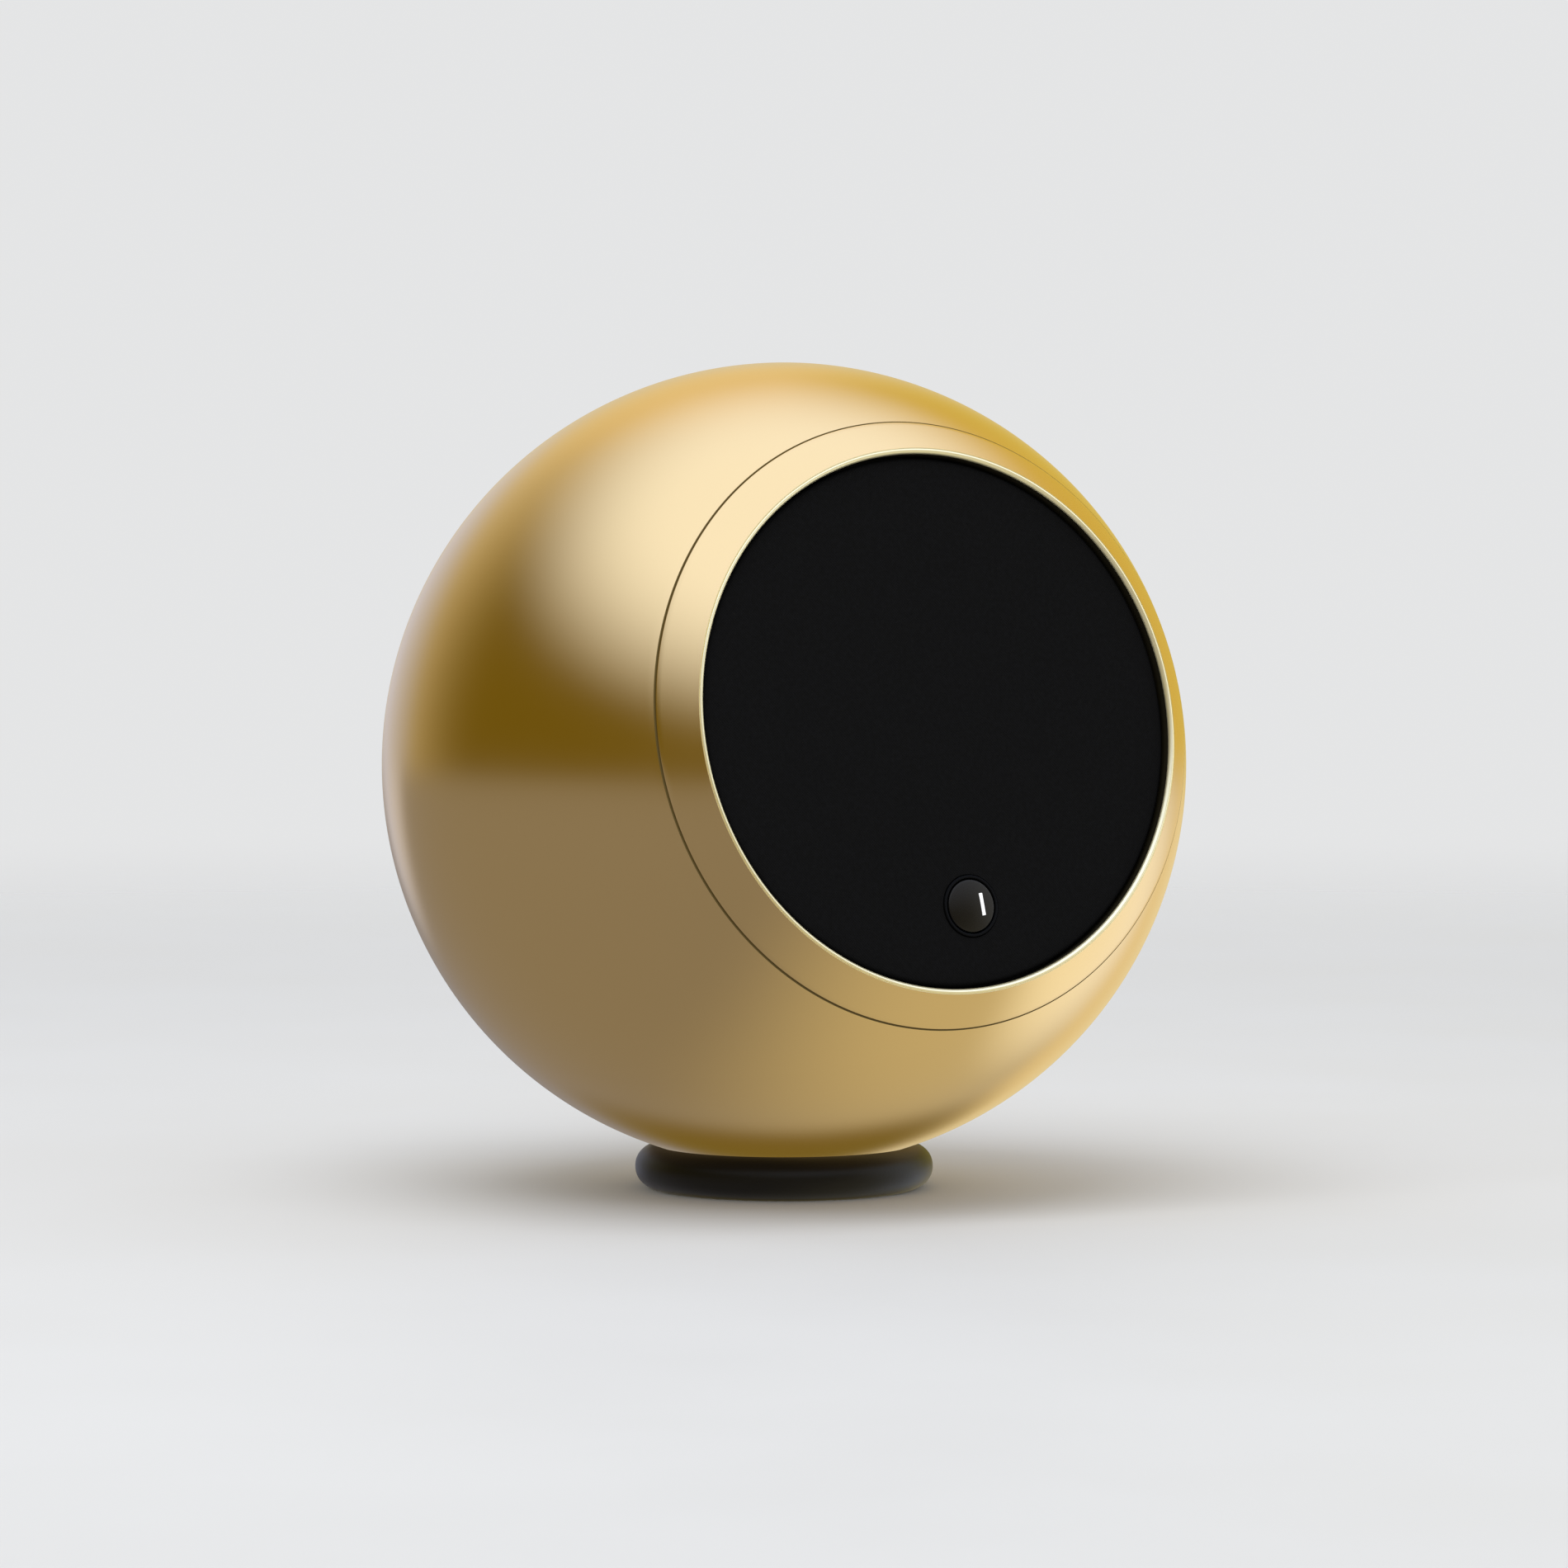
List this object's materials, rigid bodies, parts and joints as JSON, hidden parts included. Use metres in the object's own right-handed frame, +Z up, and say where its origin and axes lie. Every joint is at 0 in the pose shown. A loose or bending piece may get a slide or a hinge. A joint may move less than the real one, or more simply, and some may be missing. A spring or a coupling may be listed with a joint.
{
  "type": "smart speaker",
  "caption": "Round metal ball speaker in a black ring foot, with a raised bezel, dark cloth front, small front button and a rear panel with a power inlet.",
  "frame": {"origin": "centre of the underside of the foot, on the surface that the speaker stands on", "axes": "+Z up; the cloth front faces -Y and looks up by 10 degrees at rest; +X is to the right for someone facing the front"},
  "size_m": [0.127, 0.1186, 0.1305],
  "materials": {
    "satin_gold": "satin",
    "black_rubber": "satin",
    "black_cloth": "knitted",
    "black_plastic": "fine texture",
    "grey_plastic": "satin",
    "white_plastic": "satin",
    "clear_light": "polished",
    "zinc_steel": "zinc plated",
    "black_steel": "satin",
    "ferrite": "ground",
    "paper_cone": "pressed paper",
    "spider_cloth": "woven",
    "dark_foam": "closed-cell foam",
    "wadding": "fleece",
    "green_board": "solder mask",
    "copper": "enamelled wire"
  },
  "bodies": {
    "foot": {"foot_ring": "black_rubber", "foot_weight": "zinc_steel", "foot_pad": "dark_foam"},
    "seat": {"seat_ring": "grey_plastic"},
    "ball": {"ball_shell": "satin_gold", "wadding_ring": "wadding", "front_bezel": "satin_gold", "grille_frame": "black_plastic", "grille_cloth": "black_cloth", "button_collar": "black_plastic", "button_switch": "grey_plastic", "button_led": "white_plastic", "button_board": "green_board", "mic_left": "zinc_steel", "mic_right": "zinc_steel", "front_ribbon": "white_plastic", "driver_gasket": "dark_foam", "driver_basket": "black_steel", "pole_plate": "zinc_steel", "magnet": "ferrite", "yoke": "zinc_steel", "driver_terminals": "grey_plastic", "driver_screw_1": "zinc_steel", "driver_screw_2": "zinc_steel", "driver_screw_3": "zinc_steel", "driver_screw_4": "zinc_steel", "chassis": "black_plastic", "main_board": "green_board", "shield_can": "zinc_steel", "amplifier_chip": "black_plastic", "output_coil_1": "ferrite", "output_coil_2": "ferrite", "capacitor_1": "zinc_steel", "capacitor_2": "zinc_steel", "power_connector": "white_plastic", "speaker_connector": "white_plastic", "ribbon_connector": "white_plastic", "board_screw_1": "zinc_steel", "board_screw_2": "zinc_steel", "board_screw_3": "zinc_steel", "speaker_lead": "black_rubber", "rear_panel": "black_plastic", "rear_gasket": "dark_foam", "usb_c_inlet": "zinc_steel", "inlet_board": "green_board", "pair_switch": "black_plastic", "antenna": "green_board", "power_lead": "black_rubber", "rear_screw_1": "black_steel", "rear_screw_2": "black_steel", "rear_screw_3": "black_steel"},
    "cone_unit": {"cone": "paper_cone", "cone_surround": "black_rubber", "dust_cap": "paper_cone", "voice_coil": "copper", "spider": "spider_cloth"},
    "front_button": {"button_cap": "black_plastic", "button_light": "clear_light"},
    "rear_button": {"pair_button": "grey_plastic"}
  },
  "joints": [
    {"name": "ball_pan", "type": "hinge", "parent": "foot", "child": "seat", "pos_m": [0, 0, 0.004], "axis": [0, 0, 1], "continuous": true},
    {"name": "ball_tilt", "type": "hinge", "parent": "seat", "child": "ball", "pos_m": [0, 0, 0.06698], "axis": [-1, 0, 0], "range_deg": [-30, 30]},
    {"name": "cone_travel", "type": "slide", "parent": "ball", "child": "cone_unit", "axis": [0, -0.9848, 0.1736], "range_m": [-0.0025, 0.0025], "stiffness_N_per_m": 1500, "deforming": ["cone_surround", "spider"]},
    {"name": "front_button_press", "type": "slide", "parent": "ball", "child": "front_button", "axis": [0, 0.9848, -0.1736], "range_m": [0, 0.0007], "stiffness_N_per_m": 1500, "springref_m": -0.0004},
    {"name": "rear_button_press", "type": "slide", "parent": "ball", "child": "rear_button", "axis": [0, -0.9848, 0.1736], "range_m": [0, 0.0006], "stiffness_N_per_m": 1500, "springref_m": -0.0004}
  ]
}
